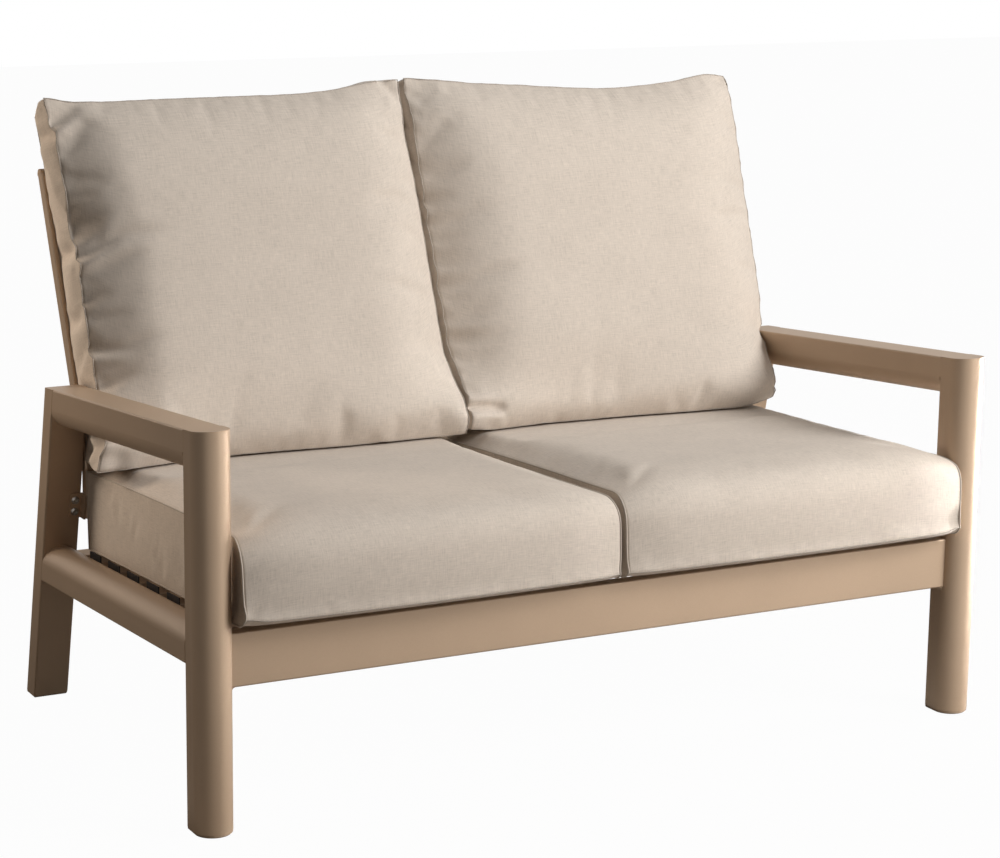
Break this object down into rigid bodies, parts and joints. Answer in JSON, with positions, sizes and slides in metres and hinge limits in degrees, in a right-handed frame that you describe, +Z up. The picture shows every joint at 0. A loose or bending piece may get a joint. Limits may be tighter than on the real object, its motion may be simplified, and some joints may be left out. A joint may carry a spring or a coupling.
{
  "type": "patio loveseat",
  "caption": "Outdoor two-seat sofa: D-section aluminium tube frame with sloped flat arms, slatted deck and back, and loose crowned seat and back cushions that pull off.",
  "frame": {"origin": "on the floor, at the middle of the overall width and depth", "axes": "+X to the right of someone who stands in front and faces the seat, +Y from the front to the back, +Z up"},
  "size_m": [1.4, 0.9065, 1.0198],
  "materials": {
    "frame_coat": "satin",
    "cap_plastic": "matte",
    "cushion_fabric": "matte",
    "zinc_steel": "satin"
  },
  "bodies": {
    "frame": {"arm_left": "frame_coat", "arm_right": "frame_coat", "back_bottom_rail": "frame_coat", "back_brace": "frame_coat", "back_bracket_left": "frame_coat", "back_bracket_right": "frame_coat", "back_post_left": "frame_coat", "back_post_right": "frame_coat", "back_slat_1": "frame_coat", "back_slat_2": "frame_coat", "back_slat_3": "frame_coat", "back_slat_4": "frame_coat", "back_slat_5": "frame_coat", "back_top_rail": "frame_coat", "bracket_bolts": "zinc_steel", "deck_bearer_centre": "frame_coat", "deck_bearer_left": "frame_coat", "deck_bearer_right": "frame_coat", "deck_slat_1": "frame_coat", "deck_slat_2": "frame_coat", "deck_slat_3": "frame_coat", "deck_slat_4": "frame_coat", "deck_slat_5": "frame_coat", "deck_slat_6": "frame_coat", "deck_slat_7": "frame_coat", "front_apron": "frame_coat", "front_foot_left": "cap_plastic", "front_foot_right": "cap_plastic", "front_leg_left": "frame_coat", "front_leg_right": "frame_coat", "post_bolts": "zinc_steel", "post_cap_left": "cap_plastic", "post_cap_right": "cap_plastic", "post_end_plugs": "cap_plastic", "post_spacers": "zinc_steel", "rear_foot_left": "cap_plastic", "rear_foot_right": "cap_plastic", "rear_leg_left": "frame_coat", "rear_leg_right": "frame_coat", "rear_rail": "frame_coat", "side_rail_left": "frame_coat", "side_rail_right": "frame_coat", "slat_end_caps": "cap_plastic", "threaded_inserts": "zinc_steel"},
    "back_cushion_left": {"back_cushion_left": "cushion_fabric"},
    "back_cushion_right": {"back_cushion_right": "cushion_fabric"},
    "seat_cushion_left": {"seat_cushion_left": "cushion_fabric"},
    "seat_cushion_right": {"seat_cushion_right": "cushion_fabric"}
  },
  "joints": [
    {"name": "seat_pull_left", "type": "slide", "parent": "frame", "child": "seat_cushion_left", "axis": [0, -0.9985, 0.055], "range_m": [0, 0.3]},
    {"name": "seat_pull_right", "type": "slide", "parent": "frame", "child": "seat_cushion_right", "axis": [0, -0.9985, 0.055], "range_m": [0, 0.3]},
    {"name": "back_lift_left", "type": "slide", "parent": "frame", "child": "back_cushion_left", "axis": [0, 0.3838, 0.9234], "range_m": [0, 0.3]},
    {"name": "back_lift_right", "type": "slide", "parent": "frame", "child": "back_cushion_right", "axis": [0, 0.3838, 0.9234], "range_m": [0, 0.3]}
  ]
}
